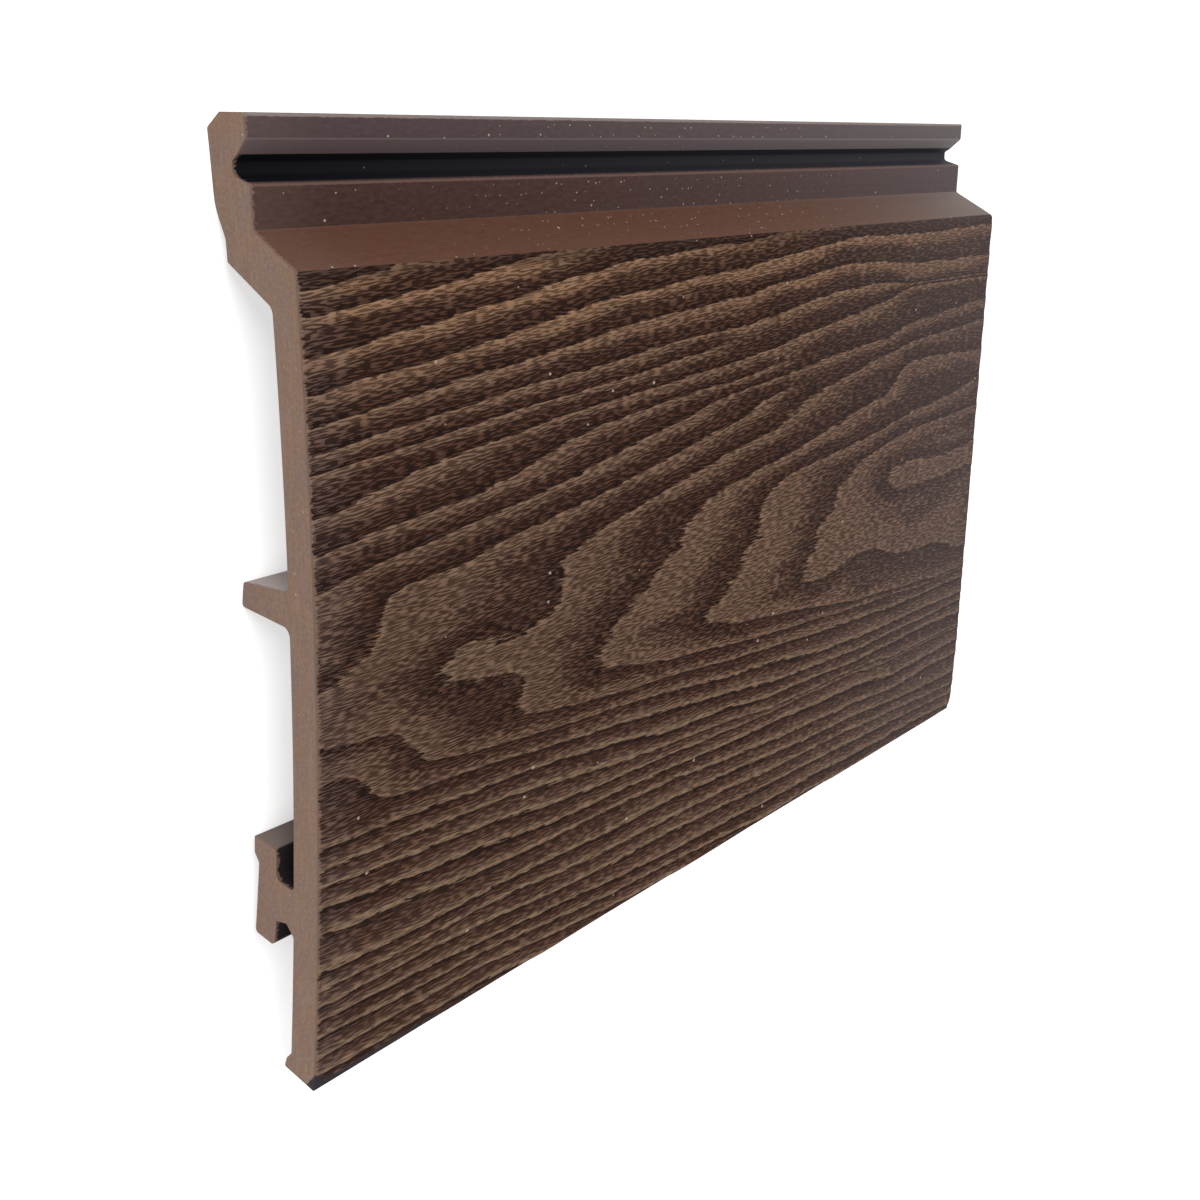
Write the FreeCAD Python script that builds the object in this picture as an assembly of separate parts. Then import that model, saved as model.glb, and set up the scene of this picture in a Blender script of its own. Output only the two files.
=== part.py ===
import FreeCAD, Part
import math
import os

# Composite cladding board, a sawn length of one solid extruded profile.
# Sizes are in millimetres. The board lies on its back with the embossed face up:
# X runs along the board, Y from the lower edge to the tongue, Z out of the face.

# The whole board
board_length = 198.0
face_width = 128.6
board_thickness = 20.0
web_thickness = 6.8

# Ledge above the face, and the tongue that it carries
ledge_rise = 5.1
ledge_wall = 7.9
tongue_setback = 10.2
tongue_face = 6.5
groove_width = 3.9
groove_depth = 4.0
groove_lean = 1.1
groove_shoulder_rise = 0.9
lip_bevel_rise = 2.3
lip_bevel_depth = 2.6
lip_width = 3.6

# Back of the tongue, the pad that bears on the wall batten
tongue_top_thickness = 6.1
tongue_back_bevel = 2.2
bearing_pad_width = 11.0
tongue_heel_setback = 2.2
tongue_heel_rise = 3.4

# Rib across the middle of the back, whose lower corner bears on the batten too
rib_height_on_face = 74.8
rib_root_thickness = 5.8
rib_tip_thickness = 4.2
rib_tip_lean = 0.7

# Hook with a slot open upwards and a slot open downwards
hook_bottom = 19.5
hook_height = 16.9
hook_setback = 2.0
hook_back_lean = 1.0
prong_head_height = 3.0
prong_notch_depth = 1.3
slot_width = 4.9
slot_depth = 5.0
arm_thickness = 7.3
lower_slot_lean = 0.5
lower_slot_rise = 0.9
lower_slot_gusset_depth = 2.0
lower_slot_gusset_rise = 1.5

# Foot at the lower edge
foot_height = 3.2
foot_step = 1.3
foot_bevel = 1.5
foot_lean = 0.5

# Edge rounds
fine_round = 0.3
edge_round = 0.6
slot_round = 0.9
prong_round = 1.1
root_round = 1.6
drip_round = 0.8
ledge_round = 1.0
pad_round = 8.0

# Levels that several features share, measured from the bearing plane of the back
face_level = board_thickness
web_back = face_level - web_thickness
tongue_front = face_level - tongue_setback
ledge_top = face_width + ledge_rise
groove_low = ledge_top + tongue_face
groove_high = groove_low + groove_width
bevel_top = groove_high + lip_bevel_rise
board_width = bevel_top + lip_width


def ledge_side():
    """Corners from the face over the ledge to the foot of the groove."""
    return [
        (face_width, face_level, ledge_round),
        (ledge_top, tongue_front, edge_round),
        (groove_low, tongue_front, fine_round),
    ]


def tongue_front_side():
    """Corners of the groove, the bevel above it and the lip."""
    groove_back = tongue_front - groove_depth
    bevel_back = tongue_front - lip_bevel_depth
    return [
        (groove_low + groove_lean, groove_back, slot_round),
        (groove_high - groove_shoulder_rise, groove_back, edge_round),
        (groove_high, bevel_back, edge_round),
        (bevel_top, tongue_front, edge_round),
        (board_width, tongue_front, fine_round),
    ]


def tongue_back_side():
    """Corners down the back of the tongue to where the ledge wall meets the web."""
    pad_top = board_width - tongue_back_bevel
    pad_bottom = pad_top - bearing_pad_width
    slope = ledge_rise / tongue_setback
    wall_on_y = ledge_wall * math.hypot(1.0, slope)
    inner_offset = face_width - wall_on_y
    heel_end = inner_offset + slope * (face_level - tongue_heel_setback)
    web_end = inner_offset + slope * web_thickness
    return [
        (board_width, tongue_front - tongue_top_thickness, fine_round),
        (pad_top, 0.0, edge_round),
        (pad_bottom, 0.0, pad_round),
        (heel_end + tongue_heel_rise, tongue_heel_setback, edge_round),
        (heel_end, tongue_heel_setback, fine_round),
        (web_end, web_back, root_round),
    ]


def rib():
    """Corners of the rib, which tapers on its upper side and has a leaning tip."""
    rib_low = rib_height_on_face
    return [
        (rib_low + rib_root_thickness, web_back, edge_round),
        (rib_low + rib_tip_thickness, rib_tip_lean, edge_round),
        (rib_low, 0.0, edge_round),
        (rib_low, web_back, root_round),
    ]


def hook():
    """Corners of the hook, from its upper slot round the back to its lower slot."""
    hook_top = hook_bottom + hook_height
    slot_floor = hook_top - slot_depth
    arm_low = slot_floor - arm_thickness
    prong_front = web_back - slot_width
    head_low = hook_top - prong_head_height
    notch_level = hook_setback + prong_notch_depth
    gusset_top = arm_low + lower_slot_rise
    return [
        (slot_floor, web_back, slot_round),
        (slot_floor, prong_front, slot_round),
        (hook_top, prong_front, fine_round),
        (hook_top, hook_setback, fine_round),
        (head_low, hook_setback, fine_round),
        (head_low - prong_notch_depth, notch_level, edge_round),
        (hook_bottom, notch_level - hook_back_lean, edge_round),
        (hook_bottom, prong_front - lower_slot_lean, prong_round),
        (arm_low, prong_front, fine_round),
        (gusset_top, web_back - lower_slot_gusset_depth, edge_round),
        (gusset_top - lower_slot_gusset_rise, web_back, edge_round),
    ]


def foot():
    """Corners of the foot, a small step behind the lower edge."""
    foot_back = web_back - foot_step
    return [
        (foot_height, web_back, edge_round),
        (foot_height - foot_bevel, foot_back, edge_round),
        (0.0, foot_back - foot_lean, fine_round),
        (0.0, face_level, drip_round),
    ]


def toward(start, end, distance):
    """Point at a distance from start on the straight line to end."""
    step = end - start
    return start + step.normalize() * distance


def rounded_wire(corners):
    """Closed wire through corners of (y, z, radius), each turned by a tangent arc."""
    points = [FreeCAD.Vector(0.0, y, z) for y, z, radius in corners]
    count = len(points)
    edges = []
    starts = []
    ends = []
    for index, corner in enumerate(points):
        before = points[index - 1]
        after = points[(index + 1) % count]
        turn = math.pi - (before - corner).getAngle(after - corner)
        radius = corners[index][2]
        reach = radius * math.tan(turn / 2.0)
        start = toward(corner, before, reach)
        end = toward(corner, after, reach)
        middle_direction = toward(corner, before, 1.0) + toward(corner, after, 1.0) - corner
        bulge = radius / math.cos(turn / 2.0) - radius
        middle = toward(corner, middle_direction, bulge)
        edges.append(Part.Arc(start, middle, end).toShape())
        starts.append(start)
        ends.append(end)
    for index in range(count):
        edges.append(Part.LineSegment(ends[index - 1], starts[index]).toShape())
    return Part.Wire(Part.__sortEdges__(edges))


def board():
    """The profile run straight along the board, with both ends sawn square."""
    corners = ledge_side() + tongue_front_side() + tongue_back_side() + rib() + hook() + foot()
    section = Part.Face(rounded_wire(corners))
    solid = section.extrude(FreeCAD.Vector(board_length, 0.0, 0.0))
    solid.translate(FreeCAD.Vector(-board_length / 2.0, -board_width / 2.0, 0.0))
    return solid


os.makedirs("parts", exist_ok=True)
cladding = board()
cladding.exportStep("parts/board.step")
box = cladding.BoundBox
print("board", round(box.XLength, 3), round(box.YLength, 3), round(box.ZLength, 3))
print("volume", round(cladding.Volume / 1000.0, 1), "cubic centimetres, valid", cladding.isValid())
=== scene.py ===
# %% [markdown]
# Composite cladding board
# This file dresses one sawn length of solid wood plastic cladding. The real board is squeezed
# through a die, so its section is the same all along. A hot roller then presses a grain into its
# face, and a saw cuts it to length. The lesson keeps that order: take the section, run it along
# the board, press the grain, saw the ends, and only then colour it.

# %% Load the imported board
import math
import bpy
import bmesh
import numpy as np
from mathutils import Euler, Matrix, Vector, geometry


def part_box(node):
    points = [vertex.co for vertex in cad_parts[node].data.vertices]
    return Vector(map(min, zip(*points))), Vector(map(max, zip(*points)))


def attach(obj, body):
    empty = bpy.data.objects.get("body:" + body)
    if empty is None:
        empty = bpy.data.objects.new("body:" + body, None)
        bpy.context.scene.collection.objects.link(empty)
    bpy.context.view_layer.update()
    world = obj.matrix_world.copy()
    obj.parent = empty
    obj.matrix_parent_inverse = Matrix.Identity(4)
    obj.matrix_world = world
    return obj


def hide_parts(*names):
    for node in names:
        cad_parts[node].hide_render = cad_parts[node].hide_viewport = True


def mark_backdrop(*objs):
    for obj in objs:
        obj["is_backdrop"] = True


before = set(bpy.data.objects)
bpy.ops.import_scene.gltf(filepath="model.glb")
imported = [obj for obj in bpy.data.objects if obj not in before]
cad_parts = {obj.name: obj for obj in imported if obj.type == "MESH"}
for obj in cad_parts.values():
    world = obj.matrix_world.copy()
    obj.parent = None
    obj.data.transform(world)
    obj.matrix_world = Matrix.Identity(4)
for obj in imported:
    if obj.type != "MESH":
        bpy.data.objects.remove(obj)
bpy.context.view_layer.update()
low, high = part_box("board")
print("packed board, lowest and highest corner:", tuple(low), tuple(high))

# %% [markdown]
# Two measures on the face
# Blender works in metres, but a board is easier to think of in millimetres. Two measures are used
# all through this lesson. Along is the distance from the ledge corner of the sawn end that faces
# the camera, and down is the distance from that corner across the face, towards the lower edge.
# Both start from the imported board, so they follow it if it changes. The saw left the near end
# hollow, and its lowest corner stands out past the ledge corner.

# %% Millimetres, along and down
MM = 0.001
tiny = 0.01 * MM
end_standout = 1.57 * MM
length_mm = (high.x - low.x) / MM


def outline_of(node):
    """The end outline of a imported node, in order, as (y, z) pairs."""
    shell = bmesh.new()
    shell.from_mesh(node.data)
    bmesh.ops.remove_doubles(shell, verts=shell.verts, dist=0.1 * tiny)
    at_end = {vert for vert in shell.verts if vert.co.x > high.x - tiny}
    links = {}
    for edge in shell.edges:
        caps = [face for face in edge.link_faces if at_end.issuperset(face.verts)]
        if at_end.issuperset(edge.verts) and len(caps) == 1:
            first, second = edge.verts
            links.setdefault(first, []).append(second)
            links.setdefault(second, []).append(first)
    start = next(iter(links))
    walk = [start, links[start][0]]
    while walk[-1] is not start:
        walk.append(next(vert for vert in links[walk[-1]] if vert is not walk[-2]))
    points = [(vert.co.y, vert.co.z) for vert in walk[:-1]]
    shell.free()
    return points


packed_outline = outline_of(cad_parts["board"])
ledge_round_reach = 0.618 * MM
ledge_y = max(y for y, z in packed_outline if z > high.z - tiny) + ledge_round_reach
print("board length:", round(length_mm, 1), "mm, ledge corner at y =", round(ledge_y, 5))

# %% [markdown]
# A finer section
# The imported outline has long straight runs, and a straight run with no points can't be pressed
# into a grain. So the run across the face is divided about twice a millimetre, the other long runs
# every few millimetres, and the crowded points on the small rounds are thinned. The sawn ends need
# points inside the outline too, because the saw left them slightly hollow. A Delaunay triangulation
# joins them all, which is what a mesher would do with the same task.

# %% Divide the outline
face_step = 0.48 * MM
side_step = 2.5 * MM
closest = 0.16 * MM
cap_step = 1.7 * MM


def divided(points):
    """The outline with crowded points thinned and long runs divided."""
    kept = []
    for place, point in enumerate(points):
        following = points[(place + 1) % len(points)]
        crowded = kept and math.dist(point, kept[-1]) < closest
        if not crowded or math.dist(point, following) > side_step:
            kept.append(point)
    walked = []
    for start, end in zip(kept, kept[1:] + kept[:1]):
        on_face = min(start[1], end[1]) > high.z - 2.0 * tiny
        step = face_step if on_face else side_step
        count = max(1, round(math.dist(start, end) / step))
        for part in range(count):
            share = part / count
            walked.append(tuple(a + (b - a) * share for a, b in zip(start, end)))
    return walked


outline = divided(packed_outline)
print("outline points:", len(packed_outline), "packed,", len(outline), "after dividing")

# %% Fill the outline with triangles
# how near the outline a point inside may lie, as a share of cap_step
rim_share = 0.45
inside_only = 1
join_distance = 0.0001


def inside_with_room(y, z, loop, room):
    """True where a point lies inside the outline and no nearer to it than room."""
    a = loop
    b = np.roll(loop, -1, axis=0)
    run = b - a
    share = ((y - a[:, 0]) * run[:, 0] + (z - a[:, 1]) * run[:, 1]) / (run ** 2).sum(1)
    nearest = a + run * np.clip(share, 0.0, 1.0)[:, None]
    if np.hypot(nearest[:, 0] - y, nearest[:, 1] - z).min() < room:
        return False
    crosses = (a[:, 1] > z) != (b[:, 1] > z)
    at = a[crosses, 0] + (z - a[crosses, 1]) * run[crosses, 0] / run[crosses, 1]
    return (at > y).sum() % 2 == 1


def filled_section(points):
    """A flat mesh of triangles across the section, with the outline's points first."""
    loop = np.array(points) / MM
    spacing = cap_step / MM
    lowest = loop.min(0)
    highest = loop.max(0)
    inner = []
    for y in np.arange(lowest[0], highest[0], spacing):
        for z in np.arange(lowest[1], highest[1], spacing):
            if inside_with_room(y, z, loop, spacing * rim_share):
                inner.append(Vector((y, z)))
    rim = [(k, (k + 1) % len(points)) for k in range(len(points))]
    corners = [Vector(point) for point in loop] + inner
    filled = geometry.delaunay_2d_cdt(corners, rim, [], inside_only, join_distance)
    verts, faces = filled[0], filled[2]
    mesh = bpy.data.meshes.new("section")
    mesh.from_pydata([(0.0, v.x * MM, v.y * MM) for v in verts], [], faces)
    section = bpy.data.objects.new("section", mesh)
    bpy.context.scene.collection.objects.link(section)
    print("section:", len(verts), "points, of which", len(points), "on the outline,", len(faces), "triangles")
    return section


section = filled_section(outline)

# %% [markdown]
# Arithmetic with sockets
# The grain is a formula of many terms, and a formula is easier to read as a sum than as a tree of
# maths nodes. A small class lets it be written as plain sums. It works in a geometry tree and in a
# material alike, because both have the same maths nodes.


# %% Sums that build nodes
class Value:
    """A number that changes over the board, held by a socket of a node tree."""

    def __init__(self, tree, socket):
        self.tree = tree
        self.socket = socket

    def maths(self, operation, *others):
        """The result of a maths node that this value and the others feed."""
        node = self.tree.nodes.new("ShaderNodeMath")
        node.operation = operation
        for slot, item in zip(node.inputs, (self, *others)):
            if isinstance(item, Value):
                self.tree.links.new(item.socket, slot)
            else:
                slot.default_value = item
        return Value(self.tree, node.outputs[0])

    def __add__(self, other):
        return self.maths("ADD", other)

    def __sub__(self, other):
        return self.maths("SUBTRACT", other)

    def __mul__(self, other):
        return self.maths("MULTIPLY", other)

    def __truediv__(self, other):
        return self.maths("DIVIDE", other)

    def __neg__(self):
        return self.maths("MULTIPLY", -1.0)


def ramp(value, start, end, low_value=0.0, high_value=1.0, way="SMOOTHSTEP"):
    """A step from low_value at start to high_value at end, smooth unless it is LINEAR."""
    node = value.tree.nodes.new("ShaderNodeMapRange")
    node.interpolation_type = way
    value.tree.links.new(value.socket, node.inputs[0])
    for slot, number in zip(node.inputs[1:5], (start, end, low_value, high_value)):
        slot.default_value = number
    return Value(value.tree, node.outputs[0])


def strip(value, start, end, soft):
    """1 between start and end and 0 outside, with soft edges."""
    return ramp(value, start - soft, start + soft) * ramp(value, end + soft, end - soft)


def lumps(along, down, run, width, detail=2.0, layer=0.0):
    """Soft noise from 0 to 1 in lumps of a length along the board and a width across it."""
    tree = along.tree
    place = tree.nodes.new("ShaderNodeCombineXYZ")
    tree.links.new((along / run).socket, place.inputs[0])
    tree.links.new((down / width).socket, place.inputs[1])
    place.inputs[2].default_value = layer
    node = tree.nodes.new("ShaderNodeTexNoise")
    node.inputs["Scale"].default_value = 1.0
    node.inputs["Detail"].default_value = detail
    tree.links.new(place.outputs[0], node.inputs["Vector"])
    return Value(tree, node.outputs[0])


# %% Along and down from a position socket
bow_slope = 0.0455
bow_return = 0.000449


def board_measures(tree, position):
    """Along, down and height in millimetres from a socket that holds a place in metres."""
    split = tree.nodes.new("ShaderNodeSeparateXYZ")
    tree.links.new(position, split.inputs[0])
    x, y, z = (Value(tree, socket) for socket in split.outputs)
    along = (x - (low.x + end_standout)) / MM
    down = (-y + ledge_y) / MM
    return along, down, z / MM


def end_bow(down):
    """How far along the near sawn end lies at each distance down, because the saw left it hollow."""
    return down * bow_slope - down * down * bow_return


# %% [markdown]
# The grain
# The roller copies a board sawn from the side of a trunk. Its year rings are cones one inside the
# other, so the saw leaves flames: nested points that all look the same way, with straighter lines
# above and below. A cone that is cut along its side gives a simple rule. The count of rings rises
# by one for each flame pitch along the board and falls with the distance from the flames' middle.
# A drawn curve gives that fall, and soft swellings bend the flames as a knot or a wind would.

# %% Sizes of the flames
flame_pitch = 32.5
first_flame = 61.0
fall_width = 130.0
fall_height = 14.0
ring_fall = [
    # down, rings that the count has fallen by
    (0, 10.1), (8, 8.4), (15, 7.1), (21, 5.95), (30, 4.1), (37, 2.95), (45, 1.75), (50, 1.05), (54, 0.72),
    (62, 0.45), (70, 0.15), (75, 0.0), (78, 0.2), (82, 0.95), (86, 1.9), (93, 3.8), (101, 5.9),
    (112, 8.9), (120, 11.1), (130, 13.9),
]
swellings = [
    # along, down, reach along, reach down, rings
    (24, 64, 14, 6, 0.45),
    (40, 74, 10, 5, -0.45),
    (18, 76, 11, 5, -0.5),
    (2, 78, 12, 5.5, -1.1),
    (0, 66, 12, 6, 0.5),
    (47, 60.5, 8, 4, -0.3),
    (16, 51, 8, 5, 0.45),
    (82, 57, 7, 4, -0.13),
    (118, 50, 22, 7, 0.3),
    (131, 66, 9, 10, 0.2),
    (136, 78, 8, 3, -0.12),
    (158, 58, 16, 7, 0.6),
    (194, 75, 34, 9, -1.55),
    (150, 77, 14, 5, -0.6),
    (175, 81, 18, 4, -0.3),
    (198, 53.5, 22, 4, -0.75),
    (200, 65, 14, 5, -0.75),
]
print("flames:", flame_pitch, "mm apart, bent by", len(swellings), "swellings")

# %% [markdown]
# The lines above and below the flames
# Nearer the tongue and nearer the lower edge the rings follow no simple rule, so they are marked out
# as a carver would do it. At a few stations along the board, a list says how far down each ring line
# crosses, and the lines run between the stations. The first number of a list is the count of its
# first line. Above the flames the count rises on the way down, and below them it falls, because
# the flames' middle lies between. Some of the upper lines stop on their way, so the near and the far
# half have lists of their own, and one half fades into the other. The lower lines run through, and
# where two of them merge they are drawn close side by side.

# %% Ring lines at stations along the board
near_lines = {
    0: (-12, [2.5, 6.3, 12.2, 17.3, 22, 26, 29, 35.3, 41, 46.5]),
    33: (-11, [2.5, 7.7, 13.6, 18.3, 22.6, 26, 29.8, 37.3, 42.2, 47]),
    66: (-10, [2.6, 8.4, 13.8, 19.4, 23, 26.6, 30.4, 36.6, 42.6, 48]),
    99: (-9, [6.3, 11.8, 17.3, 20, 24.2, 27.8, 30.3, 36.2, 42, 49.8]),
    132: (-9, [2.7, 7.8, 13.3, 16.2, 19.5, 24, 26.8, 30, 33.5, 42.7, 50.5]),
}
far_lines = {
    85: (-6, [7, 12.2, 17.6, 25, 32.5, 44.8, 53]),
    99: (-6, [6.3, 11.8, 17.6, 24.2, 30.3, 42, 49.8]),
    132: (-6, [2.7, 7.8, 13.3, 19.5, 26.8, 33.5, 42.7, 50.5]),
    152: (-6, [2.3, 8.3, 12.9, 16.6, 25.6, 29.5, 39.2, 46.8]),
    163: (-6, [2.7, 9.3, 13.9, 14.4, 22.7, 27.3, 31.8, 44.3, 49]),
    198: (-6, [2.2, 9.2, 14.0, 14.5, 20, 25, 32.5, 40.5, 48]),
}
lower_lines = {
    0: (-3, [78.5, 87.9, 91.2, 94, 97.7, 102.1, 108.4, 111.4, 114.3, 116.9, 119.6, 123, 126.2]),
    16: (-2, [75.5, 82.8, 88.2, 91.7, 95.3, 99.3, 103.2, 109.4, 112.1, 114.6, 117.4, 120.3, 123.3, 126.5]),
    33: (-2, [81.7, 85.3, 89.6, 93, 96.7, 100.5, 105.3, 109.4, 112.1, 115.1, 118.7, 121, 123.7, 126.7]),
    50: (-1, [79.9, 84, 87.6, 90.8, 94.9, 99, 102.7, 105.8, 109.9, 113.5, 116.9, 120.1, 122.8, 125.5]),
    66: (0, [78, 82.1, 85.1, 89, 92.8, 97, 100.3, 103.3, 106.2, 110.9, 114.6, 117.8, 121.5, 124.4, 127.4]),
    83: (0, [80.5, 84, 87.8, 91.5, 96, 98.7, 101, 104, 106.8, 110.9, 114.9, 118.3, 122.6, 125.3, 128]),
    99: (1, [77.6, 82.6, 86.3, 90, 93.5, 96.9, 100, 102, 105, 108.6, 112.1, 115.5, 119.2, 123.2, 126.4]),
    115: (1, [80.5, 84.2, 87.6, 91.2, 95.8, 99.2, 102, 103.1, 105.5, 109.9, 113.3, 117.1, 120.3, 124.4]),
    132: (1, [83.3, 85.8, 89.2, 94.2, 97.1, 99.9, 102.6, 103.4, 106.9, 110.8, 114.6, 117.6, 120.8, 124.4]),
    148: (1, [85.8, 87.2, 90.5, 95.1, 98.3, 101, 103.2, 103.9, 107.4, 111.5, 114.9, 118.3, 121.5, 125.5]),
    165: (2, [
        77.5, 87.4, 88.4, 91.7, 95.5, 98.3, 101.2, 104.9, 105.6, 109.6, 113.3, 116.9, 119.6, 122.4, 125.8,
    ]),
    182: (2, [81, 89, 89.8, 91.9, 96, 98.5, 100.8, 105, 105.7, 109.6, 112.8, 117.8, 120.8, 123.3, 126.2]),
    198: (2, [82, 89, 89.7, 92.3, 96, 98.2, 101.9, 105.3, 106, 109.6, 113.5, 118.3, 121.5, 124.2, 126.9]),
}
# top, bottom, room of a ring above the first mark, room of one below the last, turn of the count
upper_span = (-4.0, 56.0, 5.0, 7.0, 1)
lower_span = (72.0, 130.0, 4.0, 3.3, -1)
# down where the upper lines give way to the flames, and the flames to the lower lines
upper_join = (45, 52)
lower_join = (80, 87)
most_rings = 18.0
station_counts = [len(lines) for lines in (near_lines, far_lines, lower_lines)]
print("stations of the near, far and lower ring lines:", station_counts)


# %% The ring count as a formula
wander_rings = 0.28
ripple_rings = 0.22


def hand_curve(value, points, across, up):
    """A Float Curve through points, where across and up are the lowest and highest of each."""
    tree = value.tree
    node = tree.nodes.new("ShaderNodeFloatCurve")
    curve = node.mapping.curves[0]
    while len(curve.points) < len(points):
        curve.points.new(0.5, 0.5)
    for point, (x, y) in zip(curve.points, points):
        point.handle_type = "AUTO_CLAMPED"
        point.location = ((x - across[0]) / (across[1] - across[0]), (y - up[0]) / (up[1] - up[0]))
    node.mapping.update()
    tree.links.new(((value - across[0]) / (across[1] - across[0])).socket, node.inputs["Value"])
    return Value(tree, node.outputs[0]) * (up[1] - up[0]) + up[0]


def bell(along, down, swelling):
    """A soft swelling that fades with distance."""
    at_along, at_down, reach_along, reach_down, rings = swelling
    across = (along - at_along) / reach_along
    upward = (down - at_down) / reach_down
    fade = (-(across * across + upward * upward)).maths("EXPONENT")
    return fade * rings


def station_rings(down, marked, span):
    """The ring count on the way down at one station, through its marks."""
    top, bottom, room_above, room_below, turn = span
    first, marks = marked
    points = [(mark, first + number * turn) for number, mark in enumerate(marks)]
    above = (top, first - (marks[0] - top) / room_above * turn)
    below = (bottom, points[-1][1] + (bottom - marks[-1]) / room_below * turn)
    return hand_curve(down, [above] + points + [below], (top, bottom), (-most_rings, most_rings))


def line_rings(along, down, lines, span):
    """Ring lines drawn through the marks of the stations, straight between two stations."""
    stations = sorted(lines)
    counts = [station_rings(down, lines[station], span) for station in stations]
    rings = counts[0]
    for start, end, before, after in zip(stations, stations[1:], counts, counts[1:]):
        rings = rings + (after - before) * ramp(along, start, end, way="LINEAR")
    return rings


def flame_rings(along, down):
    """The cone rule with its swellings, and the marked lines below it."""
    rings = (along - first_flame) / flame_pitch
    rings = rings - hand_curve(down, ring_fall, (0.0, fall_width), (0.0, fall_height))
    for swelling in swellings:
        rings = rings + bell(along, down, swelling)
    lower = line_rings(along, down, lower_lines, lower_span)
    return rings + (lower - rings) * ramp(down, *lower_join)


def ring_counts(along, down):
    """The ring count for the near lines and for the far lines, the same from the flames down."""
    flames = flame_rings(along, down)
    wander = (lumps(along, down, 26.0, 6.0) - 0.5) * wander_rings
    ripple = (lumps(along, down, 9.0, 1.9, layer=3.0) - 0.5) * ripple_rings
    counts = []
    for lines in (near_lines, far_lines):
        upper = line_rings(along, down, lines, upper_span)
        counts.append(upper + (flames - upper) * ramp(down, *upper_join) + wander + ripple)
    return counts


# %% [markdown]
# From rings to relief
# Each year ring starts pale and hard, darkens slowly and stops short. Pressed into the board, the
# pale part is a smooth ridge and the dark part a rough hollow. So the hollow comes in over a wide
# soft slope and goes out over a narrow one.

# %% Shares of a ring
# down where the flames begin and where they end
flame_top = (46, 58)
flame_foot = (84, 76)
# along where the far lines take over near the tongue, and how much later further down
far_lines_from = (86, 100)
tongue_side = (20, 28)
later_below = 25.0
# shares of a ring where the hollow comes in, goes out among the flames and goes out elsewhere
soft_slope = (0.12, 0.66)
steep_slope = (0.955, 1.0)
wide_slope = (0.84, 1.0)
# how much later in a ring it comes in among the flames
flame_lag = 0.30


def flame_band(down):
    """1 where the flames are and 0 among the straight lines above and below."""
    return ramp(down, *flame_top) * ramp(down, *flame_foot)


def far_share(along, down):
    """0 where the near lines hold and 1 where the far lines do, which is sooner near the tongue."""
    return ramp(along - ramp(down, *tongue_side, 0.0, later_below), *far_lines_from)


def faded(near, far, share):
    """The near value where the share is 0 and the far one where it is 1."""
    return near + (far - near) * share


def pressed_hollow(rings, along, down):
    """0 on a ridge and 1 in a hollow: down over a soft slope, and up over a steeper one."""
    share = rings.maths("FRACT")
    flames = flame_band(down)
    uneven = (lumps(along, down, 24.0, 7.0, layer=9.0) - 0.5) * 0.4
    into = ramp(share - flames * flame_lag + uneven, *soft_slope)
    narrow = ramp(share, *steep_slope, 1.0, 0.0)
    wide = ramp(share, *wide_slope, 1.0, 0.0)
    return into * (wide + (narrow - wide) * flames)


# %% [markdown]
# The board in Geometry Nodes
# A sheet with one row for each station along the board and one column for each outline point is
# bent round the section. The sheet's columns look up the section's points by number, which is the
# same as running the section along a straight path, and it keeps every row where the outline has
# it. Two copies of the filled section close the ends. Then the grain is pressed in and the ends are
# sawn, as offsets of the points. Mesh code could do the same, but here each size stays an input
# that can be pulled, and the whole shape is one rule.

# %% Sizes of the board in the tree
station_step = 1.0 * MM
grain_depth = 0.24 * MM
station_count = round((high.x - low.x) / station_step) + 1
face_height = high.z / MM
# the far end is pressed less deep over a short length
calm_length = 8.0
calm_share = 0.45
# how far a normal leans along the board on a sawn end
end_lean = 0.75
# how near the face's height and how far up a normal points on the grained face
face_share = 0.4
face_lean = 0.3
print("stations along the board:", station_count)


# %% Helpers for the tree
def node_of(tree, kind, **settings):
    """A new node with some of its settings."""
    node = tree.nodes.new(kind)
    for name, value in settings.items():
        setattr(node, name, value)
    return node


def vector_of(tree, parts):
    """A vector socket from three values or numbers."""
    node = tree.nodes.new("ShaderNodeCombineXYZ")
    for slot, part in zip(node.inputs, parts):
        if isinstance(part, Value):
            tree.links.new(part.socket, slot)
        else:
            slot.default_value = part
    return node.outputs[0]


def moved(tree, shape, offset):
    """The shape with its points moved by an offset socket."""
    node = tree.nodes.new("GeometryNodeSetPosition")
    tree.links.new(shape, node.inputs["Geometry"])
    tree.links.new(offset, node.inputs["Offset"])
    return node.outputs[0]


def kept(tree, shape, name, value):
    """The shape with a value kept on its points under a name, for later nodes and for materials."""
    node = node_of(tree, "GeometryNodeStoreNamedAttribute", data_type="FLOAT", domain="POINT")
    node.inputs["Name"].default_value = name
    tree.links.new(shape, node.inputs["Geometry"])
    tree.links.new(value.socket, node.inputs["Value"])
    return node.outputs[0]


def kept_value(tree, name):
    """A value that was kept on the points under a name."""
    node = node_of(tree, "GeometryNodeInputNamedAttribute", data_type="FLOAT")
    node.inputs["Name"].default_value = name
    return Value(tree, node.outputs[0])


def finished(tree, shape, material, chosen=None):
    """The shape with a material on the faces that are chosen."""
    node = tree.nodes.new("GeometryNodeSetMaterial")
    node.inputs["Material"].default_value = material
    tree.links.new(shape, node.inputs["Geometry"])
    if chosen is not None:
        tree.links.new(chosen.socket, node.inputs["Selection"])
    return node.outputs[0]


# %% The saw cut
saw_fade = 25.0 * MM
worn_length = 12.0
# down from, down to, and the wear at each in millimetres
crumbled_side = (108, 124, 0.0, 1.3)
broken_corner = (124, 129, 0.0, 1.6)


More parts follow.
